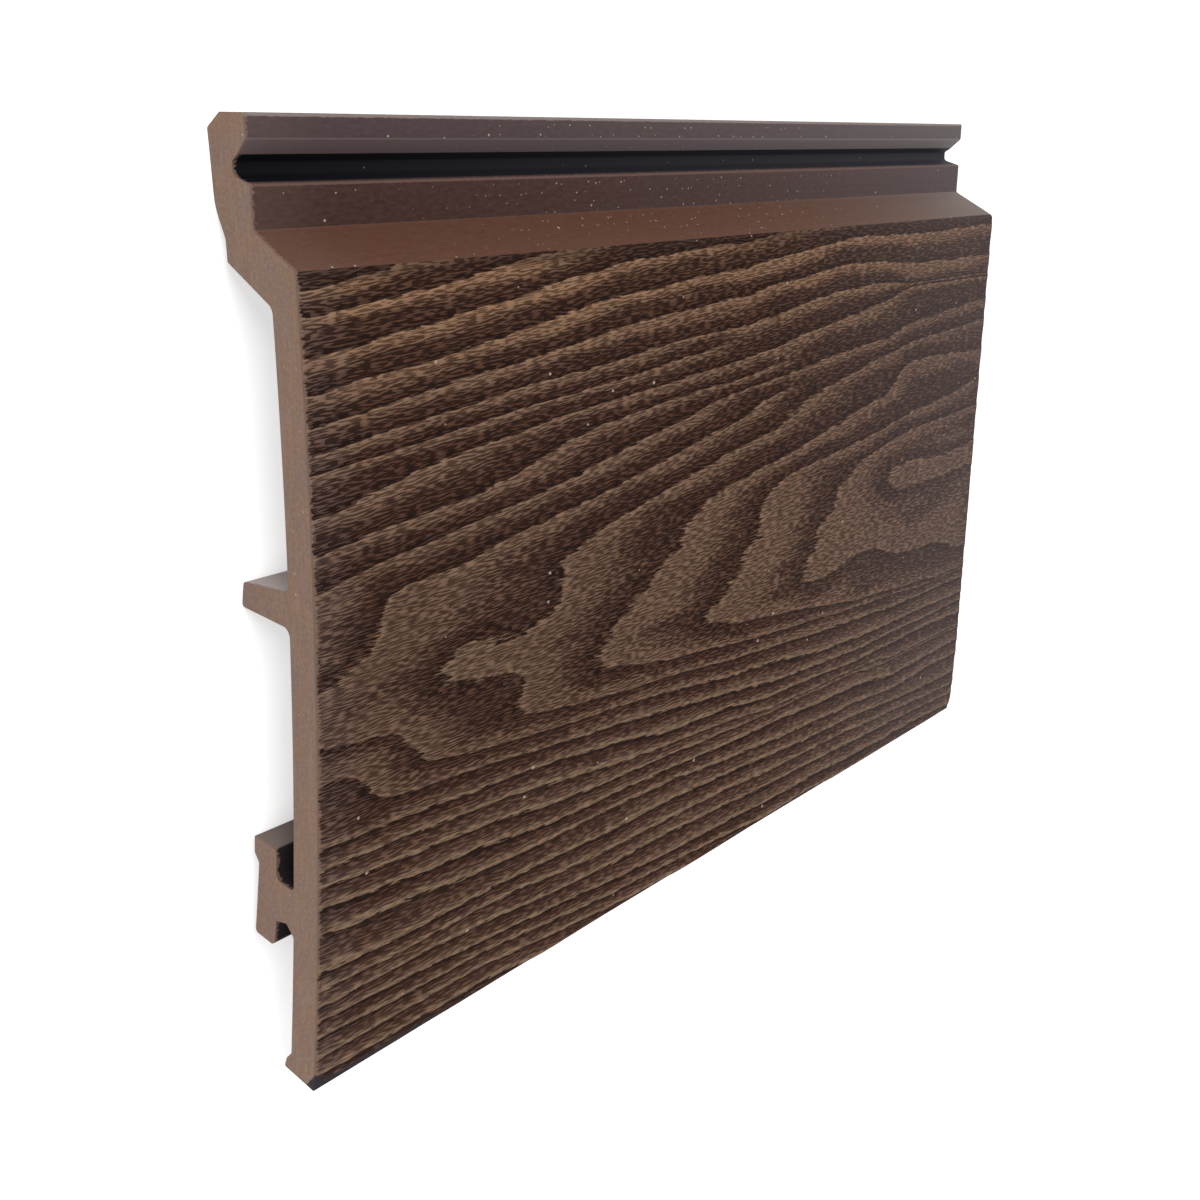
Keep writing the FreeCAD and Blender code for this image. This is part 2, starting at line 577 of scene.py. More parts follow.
def saw_cut(along, down):
    """How far the saw moved each point, in metres: a hollow near end and a worn far corner."""
    from_near = (along * MM + end_standout) / saw_fade
    near = ramp(from_near, 0.0, 1.0, 1.0, 0.0)
    hollow = (end_bow(down) + end_standout / MM).maths("MAXIMUM", 0.0)
    far = ramp(along, length_mm - worn_length, length_mm)
    chips = lumps(down, along * 0.0, 3.2, 1.0, detail=3.0, layer=5.0)
    worn = ramp(down, *crumbled_side) * chips + ramp(down, *broken_corner)
    return (near * hollow - far * worn) * MM


# %% The tree
def board_tree(outline_count, materials):
    """A tree that runs a section along the board, presses the grain and saws the ends."""
    tree = bpy.data.node_groups.new("board", "GeometryNodeTree")
    face = tree.interface
    face.new_socket("Section", in_out="INPUT", socket_type="NodeSocketGeometry")
    for name, default in (("Start", low.x), ("Length", high.x - low.x), ("Grain depth", grain_depth)):
        face.new_socket(name, in_out="INPUT", socket_type="NodeSocketFloat").default_value = default
    for name, default in (("Stations", station_count), ("Outline points", outline_count)):
        face.new_socket(name, in_out="INPUT", socket_type="NodeSocketInt").default_value = default
    face.new_socket("Board", in_out="OUTPUT", socket_type="NodeSocketGeometry")
    given = tree.nodes.new("NodeGroupInput").outputs
    link = tree.links.new
    start = Value(tree, given["Start"])
    length = Value(tree, given["Length"])
    stations = Value(tree, given["Stations"])
    columns = Value(tree, given["Outline points"])

    sheet = node_of(tree, "GeometryNodeMeshGrid")
    link(stations.socket, sheet.inputs["Vertices X"])
    link((columns + 1.0).socket, sheet.inputs["Vertices Y"])
    number = Value(tree, tree.nodes.new("GeometryNodeInputIndex").outputs[0])
    station = (number / (columns + 1.0)).maths("FLOOR")
    column = (number - station * (columns + 1.0)).maths("MODULO", columns)
    looked_up = node_of(tree, "GeometryNodeSampleIndex", data_type="FLOAT_VECTOR", domain="POINT")
    link(given["Section"], looked_up.inputs["Geometry"])
    link(tree.nodes.new("GeometryNodeInputPosition").outputs[0], looked_up.inputs["Value"])
    link(column.socket, looked_up.inputs["Index"])
    split = tree.nodes.new("ShaderNodeSeparateXYZ")
    link(looked_up.outputs[0], split.inputs[0])
    run = start + length * station / (stations - 1.0)
    bent = tree.nodes.new("GeometryNodeSetPosition")
    link(sheet.outputs["Mesh"], bent.inputs["Geometry"])
    bend = vector_of(tree, (run, Value(tree, split.outputs[1]), Value(tree, split.outputs[2])))
    link(bend, bent.inputs["Position"])

    joined = tree.nodes.new("GeometryNodeJoinGeometry")
    link(bent.outputs[0], joined.inputs[0])
    near_cap = moved(tree, given["Section"], vector_of(tree, (start, 0.0, 0.0)))
    turned = tree.nodes.new("GeometryNodeFlipFaces")
    link(near_cap, turned.inputs["Mesh"])
    link(turned.outputs[0], joined.inputs[0])
    link(moved(tree, given["Section"], vector_of(tree, (start + length, 0.0, 0.0))), joined.inputs[0])
    welded = tree.nodes.new("GeometryNodeMergeByDistance")
    welded.inputs["Distance"].default_value = 0.1 * tiny
    link(joined.outputs[0], welded.inputs["Geometry"])

    position = tree.nodes.new("GeometryNodeInputPosition").outputs[0]
    along, down, height = board_measures(tree, position)
    on_face = ramp(height, face_height - 1.0, face_height - 0.1)
    shallower = ramp(along, length_mm, length_mm - calm_length, calm_share, 1.0)
    near, far = ring_counts(along, down)
    counted = kept(tree, welded.outputs[0], "near rings", near)
    counted = kept(tree, counted, "far rings", far)
    hollows = [pressed_hollow(kept_value(tree, name), along, down) for name in ("near rings", "far rings")]
    hollow = faded(*hollows, far_share(along, down))
    pressed = hollow * on_face * shallower * Value(tree, given["Grain depth"])
    grained = moved(tree, counted, vector_of(tree, (0.0, 0.0, -pressed)))

    sawn = moved(tree, grained, vector_of(tree, (saw_cut(along, down), 0.0, 0.0)))

    normal = tree.nodes.new("ShaderNodeSeparateXYZ")
    link(tree.nodes.new("GeometryNodeInputNormal").outputs[0], normal.inputs[0])
    sideways = Value(tree, normal.outputs[0]).maths("ABSOLUTE")
    upward = Value(tree, normal.outputs[2])
    ends = sideways.maths("GREATER_THAN", end_lean)
    high_up = on_face.maths("GREATER_THAN", face_share) * upward.maths("GREATER_THAN", face_lean)
    top = high_up * (-ends + 1.0)
    whole = tree.nodes.new("GeometryNodeRealizeInstances")
    link(sawn, whole.inputs[0])
    coated = finished(tree, whole.outputs[0], materials["skin"])
    coated = finished(tree, coated, materials["grain"], top)
    coated = finished(tree, coated, materials["sawn"], ends)
    link(coated, tree.nodes.new("NodeGroupOutput").inputs[0])
    return tree


# %% [markdown]
# Shared effects
# Every surface of the board is the same mix of wood flour and plastic, so some effects come back in
# several finishes: cloudy patches where the mix is richer, and pale dust from the saw. All finishes
# also go by the same measures of the board. Each is a shader group with named inputs and outputs,
# built once and placed in each material with its own values.

# %% Groups that the finishes share
def colour(red, green, blue):
    """A colour as read off a screen, from 0 to 255, made linear by the screen's own curve."""
    parts = []
    for channel in (red, green, blue):
        part = channel / 255.0
        parts.append(part / 12.92 if part < 0.04045 else ((part + 0.055) / 1.055) ** 2.4)
    return (*parts, 1.0)


def shader_group(name, numbers, results, fill):
    """A shader group with a Position input, number inputs and number results."""
    tree = bpy.data.node_groups.new(name, "ShaderNodeTree")
    tree.interface.new_socket("Position", in_out="INPUT", socket_type="NodeSocketVector")
    for label, default in numbers.items():
        number = tree.interface.new_socket(label, in_out="INPUT", socket_type="NodeSocketFloat")
        number.default_value = default
    for label in results:
        tree.interface.new_socket(label, in_out="OUTPUT", socket_type="NodeSocketFloat")
    given = tree.nodes.new("NodeGroupInput").outputs
    taken = tree.nodes.new("NodeGroupOutput").inputs
    for label, value in zip(results, fill(tree, given)):
        tree.links.new(value.socket, taken[label])
    return tree


def scaled_noise(tree, position, sizes, detail=2.0, roughness=0.5, layer=0.0):
    """Soft noise in lumps with a size in millimetres for each axis."""
    scale = node_of(tree, "ShaderNodeVectorMath", operation="MULTIPLY_ADD")
    tree.links.new(position, scale.inputs[0])
    scale.inputs[1].default_value = [1.0 / (size * MM) for size in sizes]
    scale.inputs[2].default_value = (layer, layer, layer)
    node = node_of(tree, "ShaderNodeTexNoise")
    node.inputs["Scale"].default_value = 1.0
    node.inputs["Detail"].default_value = detail
    node.inputs["Roughness"].default_value = roughness
    tree.links.new(scale.outputs[0], node.inputs["Vector"])
    return Value(tree, node.outputs[0])


def measures(tree, given):
    """Along, down, height and the distance from the hollow near end, in millimetres."""
    along, down, height = board_measures(tree, given["Position"])
    return (along, down, height, along - end_bow(down))


def clouds(tree, given):
    """Richer and poorer patches of the mix, large and small, from 0 to 1."""
    wide = scaled_noise(tree, given["Position"], (40.0, 14.0, 14.0), detail=2.0)
    fine = scaled_noise(tree, given["Position"], (1.6, 0.7, 0.7), detail=4.0, roughness=0.65, layer=4.0)
    return (ramp(wide, 0.3, 0.7), ramp(fine, 0.25, 0.75))


def dust(tree, given):
    """Sparse pale specks: a few cells of a flat cell pattern hold one each."""
    scale = node_of(tree, "ShaderNodeVectorMath", operation="SCALE")
    tree.links.new(given["Position"], scale.inputs[0])
    spacing = Value(tree, given["Spacing"])
    tree.links.new((spacing * MM).maths("POWER", -1.0).socket, scale.inputs["Scale"])
    cells = node_of(tree, "ShaderNodeTexVoronoi", voronoi_dimensions="2D")
    cells.inputs["Scale"].default_value = 1.0
    tree.links.new(scale.outputs[0], cells.inputs["Vector"])
    draw = tree.nodes.new("ShaderNodeSeparateColor")
    tree.links.new(cells.outputs["Color"], draw.inputs[0])
    size = (Value(tree, draw.outputs[0]) * 0.7 + 0.3) * Value(tree, given["Size"]) / spacing
    held = Value(tree, draw.outputs[1]).maths("LESS_THAN", Value(tree, given["Share"]))
    ragged = scaled_noise(tree, given["Position"], (0.3, 0.3, 0.3), detail=1.0, layer=8.0)
    reach = Value(tree, cells.outputs["Distance"]) * (ragged + 0.5)
    return (ramp(reach - size, 0.01, -0.01) * held,)


measure_group = shader_group("board measures", {}, ("Along", "Down", "Height", "From end"), measures)
cloud_group = shader_group("mix clouds", {}, ("Wide", "Fine"), clouds)
dust_group = shader_group("saw dust", {"Spacing": 4.0, "Share": 0.1, "Size": 0.3}, ("Specks",), dust)
print("shared groups:", ", ".join(group.name for group in (measure_group, cloud_group, dust_group)))


# %% Helpers for the materials
class Finish:
    """A material with a Principled shader and the means to place groups and blend colours."""

    def __init__(self, name, roughness):
        self.material = bpy.data.materials.new(name)
        self.material.use_nodes = True
        self.tree = self.material.node_tree
        self.shader = self.tree.nodes["Principled BSDF"]
        self.shader.inputs["Roughness"].default_value = roughness
        self.position = self.tree.nodes.new("ShaderNodeTexCoord").outputs["Object"]

    def kept(self, name):
        """A value that the geometry tree kept on the points."""
        node = node_of(self.tree, "ShaderNodeAttribute", attribute_name=name)
        return Value(self.tree, node.outputs["Fac"])

    def spread(self, first, second):
        """A flat place for specks from two measures in millimetres."""
        return vector_of(self.tree, (first * MM, second * MM, 0.0))

    def placed(self, group, place=None, **numbers):
        """The results of a shared group, with this material's own numbers."""
        node = node_of(self.tree, "ShaderNodeGroup", node_tree=group)
        self.tree.links.new(place or self.position, node.inputs["Position"])
        for label, number in numbers.items():
            node.inputs[label].default_value = number
        return [Value(self.tree, socket) for socket in node.outputs]

    def blended(self, factor, first, second):
        """The first colour where the factor is 0 and the second where it is 1. Either may be a socket."""
        node = node_of(self.tree, "ShaderNodeMix", data_type="RGBA")
        self.tree.links.new(factor.socket, node.inputs[0])
        for slot, item in zip(node.inputs[6:8], (first, second)):
            if isinstance(item, tuple):
                slot.default_value = colour(*item)
            else:
                self.tree.links.new(item, slot)
        return node.outputs[2]

    def layered(self, base, layers):
        """The base colour under layers, each a mask and a colour, with the last one on top."""
        for mask, shade in layers:
            base = self.blended(mask, base, shade)
        return base

    def coloured(self, socket):
        """Give the shader its colour."""
        self.tree.links.new(socket, self.shader.inputs["Base Color"])

    def bumped(self, height, depth):
        """Give the shader a bump with a depth in millimetres."""
        node = self.tree.nodes.new("ShaderNodeBump")
        node.inputs["Strength"].default_value = 1.0
        node.inputs["Distance"].default_value = depth * MM
        self.tree.links.new(height.socket, node.inputs["Height"])
        self.tree.links.new(node.outputs[0], self.shader.inputs["Normal"])


# %% [markdown]
# The grained face
# The ridges are burnished tan, and the hollows stay dark. All of the face is torn in short cracks along the
# grain, a few more in a hollow than on a ridge. So one streaky noise is cut at a level that falls with the
# darkness of the ring, and where the same noise is lowest, a pale fibre stands up between the cracks. At the
# foot of each ridge the shade of its crevice is painted as a dark line, and a painted highlight runs along
# the ridge's edge. Towards the far end the face is painted greyer, as a sheen. The ring counts are read from
# the points of the board, which keeps the colour on the relief.

# %% Colours and slopes of the grained face
face_colours = {
    "ridge by the ledge": (148, 112, 85),
    "ridge": (118, 90, 74),
    "rich patch": (97, 73, 60),
    "ridge below the flames": (96, 74, 64),
    "ridge at the near end": (76, 53, 42),
    "ridge in the flames": (98, 75, 61),
    "hollow": (74, 48, 38),
    "beside the saw": (98, 80, 75),
    "painted edge highlight": (158, 131, 106),
    "raised fibre": (178, 146, 120),
    "fuzz by the ledge": (59, 43, 38),
    "open grain": (30, 16, 12),
    "crevice_shade": (28, 15, 11),
    "grit": (84, 64, 54),
    "painted far sheen": (108, 98, 98),
    "torn end": (137, 112, 98),
    "painted chip shade": (55, 52, 57),
    "speck": (196, 178, 160),
}
# shares of a ring where the dark comes in, where the painted crevice shade does, where both stop, and the
# painted edge highlight
dark_slope = (0.10, 0.62)
crevice_shade_slope = (0.78, 0.90)
ring_stop = (0.975, 1.0)
edge_highlight_slope = (0.12, 0.0)
face_bump = 0.22
print("colours of the grained face:", len(face_colours))


# %% Grained face
def ring_tones(rings, lower, torn, uneven, flames):
    """How dark a ring is, the painted shade in the crevice at the foot of its ridge, and the painted
    highlight on the ridge's edge.
    """
    broken = rings + torn * (lower * 0.34 + 0.24)
    share = broken.maths("FRACT")
    year = broken.maths("FLOOR")
    strength = ramp(lumps(year, year * 0.0, 0.7, 1.0, detail=0.0, layer=14.0), 0.3, 0.7) * lower
    late = share - flames * 0.20 - lower * 0.02 + uneven
    step = ramp(share, *ring_stop, 1.0, 0.0)
    dark = ramp(late, *dark_slope) * step * (-strength * 0.25 + 1.0)
    # painted shade in the crevice at the foot of the ridge, also bumped in as a groove
    crevice_shade = ramp(share + lower * 0.05, *crevice_shade_slope) * step * (-strength * 0.4 + 1.0)
    # painted highlight along the ridge's edge
    edge = ramp(share - lower * 0.14, *edge_highlight_slope)
    return dark, crevice_shade, edge


def grained_face():
    """Tan ridges, dark hollows and torn fibres, all placed by the ring counts."""
    finish = Finish("grained face", 0.75)
    along, down, _, from_end = finish.placed(measure_group)
    flames = flame_band(down)
    lower = ramp(down, 80, 96)
    slant = down + (along - 100.0) * ramp(down, 40, 92, 0.06, -0.06)
    torn = lumps(along, slant, 3.0, 0.48, detail=3.0, layer=1.0) - 0.5
    uneven = (lumps(along, down, 30.0, 4.0, detail=1.0, layer=9.0) - 0.5) * 0.7
    names = ("near rings", "far rings")
    tones = [ring_tones(finish.kept(name), lower, torn, uneven, flames) for name in names]
    share = far_share(along, down)
    dark, crevice_shade, edge = (faded(near, far, share) for near, far in zip(*tones))
    dash = lumps(along, slant, 2.0, 0.31, detail=0.0, layer=2.0)
    cluster = lumps(along, slant, 9.0, 3.0, detail=1.0, layer=4.0) - 0.5
    cut = dash - 0.53 + cluster * 0.12 + dark * 0.05
    light = -dark + 1.0
    cracked = dark * 0.28 + crevice_shade * (lower * 0.20 + 0.15) - lower * 0.20 + 0.56
    open_grain = ramp(cut, 0.0, 0.03) * cracked
    far_fibres = ramp(along, 100, 190) * 0.10
    fibres = light * (lower * -0.06 + 0.13) + dark * light * 0.3 + far_fibres + 0.04
    raised = ramp(cut, -0.05, -0.12) * fibres
    wide, grit = finish.placed(cloud_group)
    specks = finish.placed(dust_group, finish.spread(along, down), Spacing=5.0, Share=0.05, Size=0.35)[0]
    # painted sheen: the face is greyer towards the far end, where it is seen at a grazing angle
    far_sheen = ramp(along, 95, 215, 0.0, 0.42)
    saw_side = ramp(from_end, 11, 0, 0.0, 0.5)
    fuzz = ramp(down + torn * 2.0, 2.4, 0.8)
    # painted shade of the chipped near corner, along the face's lower edge and at the corner itself
    near_edge_chip_shade = ramp(down + torn, 127.3, 127.9) * ramp(along, 40, 4)
    chip_shade = ramp(down - along * 1.24 + torn, 127.1, 127.5) * ramp(along, 10, 5)
    torn_end = ramp(from_end + torn * 2.2, 0.5, 0.2)

    tone = face_colours
    ridge = finish.blended(ramp(down, 3, 26), tone["ridge by the ledge"], tone["ridge"])
    finish.coloured(finish.layered(ridge, [
        (wide * 0.3, tone["rich patch"]),
        (lower * 0.6, tone["ridge below the flames"]),
        (ramp(along, 110, 15) * ramp(down, 36, 54) * 0.48, tone["ridge at the near end"]),
        (flames * 0.35, tone["ridge in the flames"]),
        (dark * (flames * -0.14 + 0.94), tone["hollow"]),
        (saw_side, tone["beside the saw"]),
        # painted highlight along each ridge's edge
        (edge * (lower * 0.25 + 0.30), tone["painted edge highlight"]),
        (raised, tone["raised fibre"]),
        (fuzz * 0.6, tone["fuzz by the ledge"]),
        (open_grain, tone["open grain"]),
        # painted shade in the crevice at the foot of each ridge
        (crevice_shade * (lower * 0.50 - flames * 0.25 + 0.38), tone["crevice_shade"]),
        (grit * 0.07, tone["grit"]),
        # painted sheen towards the far end
        (far_sheen, tone["painted far sheen"]),
        (torn_end * 0.7, tone["torn end"]),
        # painted shade of the chipped near corner
        (near_edge_chip_shade.maths("MAXIMUM", chip_shade), tone["painted chip shade"]),
        (specks * 0.8, tone["speck"]),
    ]))
    finish.shader.inputs["Specular IOR Level"].default_value = 0.06
    finish.bumped(raised * 0.6 - open_grain - crevice_shade * 0.5 + specks * 0.5, face_bump)
    return finish.material


# %% [markdown]
# The smooth skin
# Where no roller reaches, the die leaves a matt skin. It is darker in the groove and in the slots of the
# hook, and painted shade there makes both near black. The rib's top gets a painted sheen, as a light grey
# strip. So the colour goes by place: a list names strips across the tongue, each with a near and a far
# colour, because the far end is painted greyer, as a sheen. The bevel above the groove is painted lighter
# than the lip, as painted light. Thin pale lines mark the upper edge of the tongue and the lower edge of the
# groove.

# %% Smooth skin
skin_strips = [
    # down from, down to, near colour, far colour, how late the far colour comes
    (-5.1, 1.0, (91, 58, 44), (127, 116, 111), 5.0),
    (-11.7, -5.1, (62, 40, 34), (94, 82, 84), 2.0),
    # the bevel above the groove: painted light, lighter than the lip to lift the shade the key lamp leaves on
    # it
    (-17.8, -15.5, (108, 93, 95), (150, 142, 144), 1.6),
    (-23.0, -17.8, (75, 60, 62), (105, 98, 99), 1.6),
]
groove = (-15.5, -11.7)
# the groove's colours: its darker skin with painted shade, near black
groove_skin_and_shade_near, groove_skin_and_shade_far = (12, 13, 18), (56, 54, 60)
# the hook's slots get their darker skin with painted shade
hook_slot_skin_and_shade = [
    # down from, down to, height from, height to
    (91.6, 98.0, 7.9, 13.6),
    (104.2, 111.0, 7.2, 13.6),
]
# down from, down to, and the height below which the rib's top gets a painted sheen
rib_sheen_strip = (46.0, 51.0)
rib_sheen_below = 12.6
# down, half width, colour
pale_edge_lines = [(-21.0, 0.22, (160, 146, 140)), (-11.35, 0.22, (118, 92, 84))]
pale_lines_from = (8.8, 9.5)
# heights where the front of the tongue begins, and down where its upper edge does
front_from = (4.4, 5.2)
upper_edge = (-21.2, -21.35)
# along where the fine dust begins and where it ends
dusty_from = (10, 75)
dusty_to = (170, 115)
skin_bump = 0.04


def smooth_skin():
    """The matt skin that the die leaves, with painted shade in its groove and slots, where it is darker too,
    a painted sheen on the rib's top and towards the far end, and painted light on the bevel.
    """
    finish = Finish("smooth skin", 0.6)
    tree = finish.tree
    along, down, height, from_end = finish.placed(measure_group)
    wide, grit = finish.placed(cloud_group)
    upright = ramp(down, *upper_edge)
    flat = finish.spread(along, down + height * (upright * 0.75 + 0.25))
    few = finish.placed(dust_group, flat, Spacing=4.0, Share=0.15, Size=0.20)[0]
    many = finish.placed(dust_group, flat, Spacing=1.6, Share=0.26, Size=0.15)[0]
    lines = scaled_noise(tree, finish.position, (60.0, 0.5, 0.5), detail=3.0, layer=6.0)
    ragged = scaled_noise(tree, finish.position, (0.7, 0.45, 0.45), detail=2.0, layer=3.0) - 0.5
    front = ramp(height, *front_from)
    share = ramp(along, 0.0, length_mm, way="LINEAR")

    mixed = finish.blended(wide, (108, 95, 90), (122, 110, 104))
    # painted sheen on the rib's top, a light grey strip
    rib = strip(down, *rib_sheen_strip, 0.3) * ramp(height, rib_sheen_below, rib_sheen_below - 1.0)
    mixed = finish.blended(rib, mixed, (186, 174, 170))
    for start, end, near, far, late in skin_strips:
        # the far colours are greyer, a painted sheen towards the far end
        tone = finish.blended(share.maths("POWER", late), near, far)
        mixed = finish.blended(front * strip(down, start, end, 0.06), mixed, tone)
    middle_dust = many * ramp(along, *dusty_from) * ramp(along, *dusty_to) * front
    mixed = finish.layered(mixed, [
        (ramp(lines, 0.4, 0.75) * 0.08, (45, 34, 33)),
        (grit * 0.10, (138, 120, 112)),
        (ramp(from_end, 16, 0) * 0.08, (160, 140, 132)),
        (few.maths("MAXIMUM", middle_dust) * 0.8, (186, 174, 164)),
    ])
    for middle, reach, tone in pale_edge_lines:
        pale_line = strip(down + ragged * 0.3, middle - reach, middle + reach, 0.1)
        mixed = finish.blended(ramp(height, *pale_lines_from) * pale_line * 0.6, mixed, tone)
    # painted shade in the groove, over its darker skin
    bottom = finish.blended(share, groove_skin_and_shade_near, groove_skin_and_shade_far)
    mixed = finish.blended(front * strip(down, *groove, 0.06) * (few * -0.5 + 1.0), mixed, bottom)
    # painted shade in the hook's slots, over their darker skin
    for start, end, lowest, highest in hook_slot_skin_and_shade:
        slot_skin_and_shade = strip(down, start, end, 0.5) * strip(height, lowest, highest, 0.3)
        mixed = finish.blended(slot_skin_and_shade, mixed, (39, 33, 36))
    torn_end = ramp(from_end + ragged * 1.8, 0.6, 0.3)
    mixed = finish.blended(torn_end * 0.6, mixed, (137, 112, 100))
    finish.coloured(mixed)
    finish.shader.inputs["Specular IOR Level"].default_value = 0.06
    finish.bumped(lines * 0.4 + grit * 0.3 + few, skin_bump)
    return finish.material


# %% [markdown]
# The sawn ends
# The saw opens the paler inside of the mix. It is soft and even, with faint strokes of the blade and crumbs
# where the teeth tore it. Beside the face it has a darker, ragged rim. On the near end, the corner where the
# face meets the lower edge took a knock. The chipped facet is not modelled, so its shade is painted on as a
# dark patch, on the end and on the face along the lower edge.

# %% Sawn ends
# heights where the ragged rim beside the face begins, and slanting distances where the painted shade of the
# chipped corner does
rim_from = (19.35, 19.75)
chip_shade_from = (91.2, 91.4)
end_bump = 0.08


def sawn_end():
    """The pale crumbly inside of the mix, with strokes of the blade."""
    finish = Finish("sawn end", 0.85)
    tree = finish.tree
    along, down, height = finish.placed(measure_group)[:3]
    specks = finish.placed(dust_group, finish.spread(down, height), Spacing=3.0, Share=0.10, Size=0.22)[0]
    blotches = scaled_noise(tree, finish.position, (3.0, 4.5, 2.6), detail=3.0, layer=1.0)
    crumbs = scaled_noise(tree, finish.position, (0.6, 0.55, 0.45), detail=4.0, roughness=0.65, layer=7.0)
    strokes = scaled_noise(tree, finish.position, (1.0, 7.0, 0.8), detail=2.0, layer=2.0)
    rim = ramp(height + (crumbs - 0.5) * 1.6, *rim_from)
    slanting = down * 0.6 + height * 0.8 + (crumbs - 0.5) * 0.8
    # painted shade of the chipped corner, whose facet the mesh does not have
    chip_shade = ramp(slanting, *chip_shade_from) * ramp(along, 30, 20)
    base = finish.blended(ramp(blotches, 0.38, 0.62), (128, 106, 96), (132, 106, 89))
    finish.coloured(finish.layered(base, [
        (ramp(crumbs, 0.52, 0.32) * 0.5, (116, 93, 82)),
        (ramp(crumbs, 0.48, 0.72) * 0.5, (150, 128, 115)),
        (ramp(strokes, 0.45, 0.75) * 0.22, (152, 130, 116)),
        (rim * 0.5, (96, 74, 62)),
        # painted shade of the chipped corner
        (chip_shade, (52, 49, 52)),
        (specks * 0.6, (176, 160, 148)),
    ]))
    finish.shader.inputs["Specular IOR Level"].default_value = 0.1
    finish.bumped(crumbs * 0.7 + strokes * 0.3, end_bump)
    return finish.material


materials = {"grain": grained_face(), "skin": smooth_skin(), "sawn": sawn_end()}
print("finishes:", ", ".join(material.name for material in materials.values()))


# %% Run the tree and keep its result as a plain mesh
sharp_turn = 50.0
cubic_centimetre = 0.000001


def made_board():
    """The board as an object with a plain mesh, its faces pointing outwards."""
    tree = board_tree(len(outline), materials)
    modifier = section.modifiers.new("board", "NODES")
    modifier.node_group = tree
    for item in tree.interface.items_tree:
        if item.in_out == "INPUT" and item.socket_type != "NodeSocketGeometry":
            modifier[item.identifier] = item.default_value
    bpy.context.view_layer.update()
    evaluated = section.evaluated_get(bpy.context.evaluated_depsgraph_get())
    mesh = bpy.data.meshes.new_from_object(evaluated)
    section.modifiers.clear()
    bpy.data.objects.remove(section)
    mesh.name = "cladding_board"
    board = bpy.data.objects.new("cladding_board", mesh)
    bpy.context.scene.collection.objects.link(board)
    shell = bmesh.new()
    shell.from_mesh(mesh)
    bmesh.ops.recalc_face_normals(shell, faces=shell.faces)
    open_edges = sum(not edge.is_manifold for edge in shell.edges)
    volume = shell.calc_volume() / cubic_centimetre
    print("volume:", round(volume, 1), "cubic centimetres, open edges:", open_edges)
    shell.to_mesh(mesh)
    shell.free()
    triangles = sum(len(polygon.vertices) - 2 for polygon in mesh.polygons)
    print("board mesh:", len(mesh.vertices), "points,", triangles, "triangles")
    return board


board = made_board()
board.data.shade_smooth()
board.data.set_sharp_from_angle(angle=math.radians(sharp_turn))
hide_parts("board")
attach(board, "root")

# %% [markdown]
# The room
# The board lies on its back on a pale floor under soft light. One large lamp stands beyond the
# tongue, low enough to rake across the grain, a weaker one lights the near end, and the world fills
# the shade. The backdrop is white to the camera, and also to the rays that a mirror or glass would
# pass on, so a shiny part would show it too. All other rays get the soft light. The floor glows
# just enough to look white, and keeps the board's shadow.

# %% Where the white backdrop shows
def shows_backdrop(tree):
    """1 for rays of the camera and for those that a mirror or glass would pass on, and 0 for light."""
    path = tree.nodes.new("ShaderNodeLightPath").outputs
    camera_ray, glossy_ray, through_ray = (
        Value(tree, path[name]) for name in ("Is Camera Ray", "Is Glossy Ray", "Is Transmission Ray")
    )
    return camera_ray.maths("MAXIMUM", glossy_ray).maths("MAXIMUM", through_ray)


# %% Floor
reach = 4.0
floor_grey = 0.86
floor_glow = 0.50


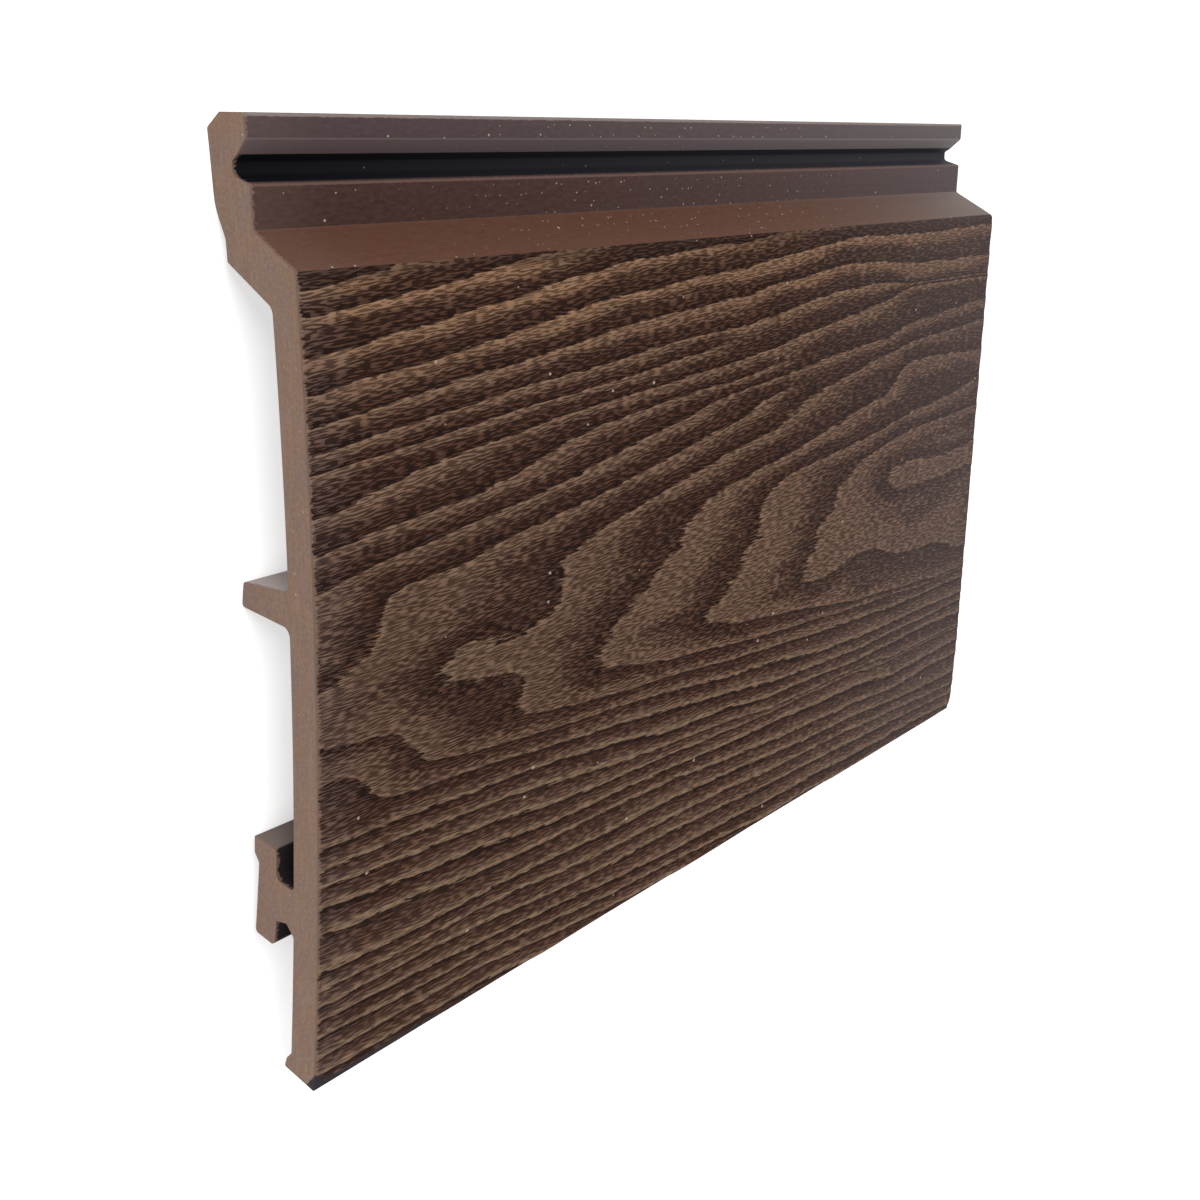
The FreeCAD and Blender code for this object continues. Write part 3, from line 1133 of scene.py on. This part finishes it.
def pale_floor():
    """A square floor whose glow only the backdrop's rays see."""
    mesh = bpy.data.meshes.new("floor")
    corners = [(-reach, -reach, 0.0), (reach, -reach, 0.0), (reach, reach, 0.0), (-reach, reach, 0.0)]
    mesh.from_pydata(corners, [], [(0, 1, 2, 3)])
    floor = bpy.data.objects.new("floor", mesh)
    bpy.context.scene.collection.objects.link(floor)
    material = bpy.data.materials.new("pale floor")
    material.use_nodes = True
    tree = material.node_tree
    shader = tree.nodes["Principled BSDF"]
    shader.inputs["Base Color"].default_value = (floor_grey, floor_grey, floor_grey, 1.0)
    shader.inputs["Roughness"].default_value = 0.9
    shader.inputs["Specular IOR Level"].default_value = 0.1
    glow = tree.nodes.new("ShaderNodeEmission")
    glow.inputs["Strength"].default_value = floor_glow
    both = tree.nodes.new("ShaderNodeAddShader")
    tree.links.new(shader.outputs[0], both.inputs[0])
    tree.links.new(glow.outputs[0], both.inputs[1])
    choice = tree.nodes.new("ShaderNodeMixShader")
    tree.links.new(shows_backdrop(tree).socket, choice.inputs[0])
    tree.links.new(shader.outputs[0], choice.inputs[1])
    tree.links.new(both.outputs[0], choice.inputs[2])
    tree.links.new(choice.outputs[0], tree.nodes["Material Output"].inputs["Surface"])
    mesh.materials.append(material)
    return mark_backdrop(floor)


pale_floor()
print("floor:", 2.0 * reach, "metres square")

# %% Light
world = bpy.data.worlds.new("studio")
world.use_nodes = True
bpy.context.scene.world = world
sky = world.node_tree.nodes["Background"]
sky.inputs["Color"].default_value = (1.0, 1.0, 1.0, 1.0)
sky_light = 0.41
seen = shows_backdrop(world.node_tree)
world.node_tree.links.new((seen * (1.0 - sky_light) + sky_light).socket, sky.inputs["Strength"])


def soft_lamp(name, place, size, power):
    """A square area lamp that looks at the middle of the board."""
    lamp = bpy.data.lights.new(name, "AREA")
    lamp.size = size
    lamp.energy = power
    holder = bpy.data.objects.new(name, lamp)
    holder.location = place
    holder.rotation_euler = (-Vector(place)).to_track_quat("-Z", "Y").to_euler()
    bpy.context.scene.collection.objects.link(holder)
    return holder


lamps = [
    # name, place and size in metres, power in watts
    soft_lamp("key lamp", (-0.6, 1.05, 1.3), 0.9, 18.5),
    soft_lamp("end lamp", (-1.4, -0.2, 0.6), 0.8, 6.0),
]
print("lamps:", ", ".join(lamp.name for lamp in lamps))

# %% [markdown]
# The camera
# The photograph looks down on the face from beyond the near end, turned so that the tongue is at the
# top. Its place was worked out from the board's straight edges. The view axis isn't in the middle
# of the picture, so the lens is shifted by the same share.

# %% Camera
picture = 1200.0
axis_row = 415.0
camera_place = (-0.19696, 0.07550, 0.17252)
camera_turns = (-14.031, -46.067, 1.549)
lens_data = bpy.data.cameras.new("camera")
lens_data.sensor_width = 36.0
lens_data.lens = 39.225
lens_data.clip_start = 0.01
lens_data.shift_y = (axis_row - picture / 2.0) / picture
camera = bpy.data.objects.new("camera", lens_data)
camera.location = camera_place
camera.rotation_euler = Euler([math.radians(turn) for turn in camera_turns], "XYZ")
bpy.context.scene.collection.objects.link(camera)
bpy.context.scene.camera = camera
bpy.context.scene.view_settings.view_transform = "Standard"
print("camera:", camera_place, "with a lens of", round(lens_data.lens, 1), "mm")
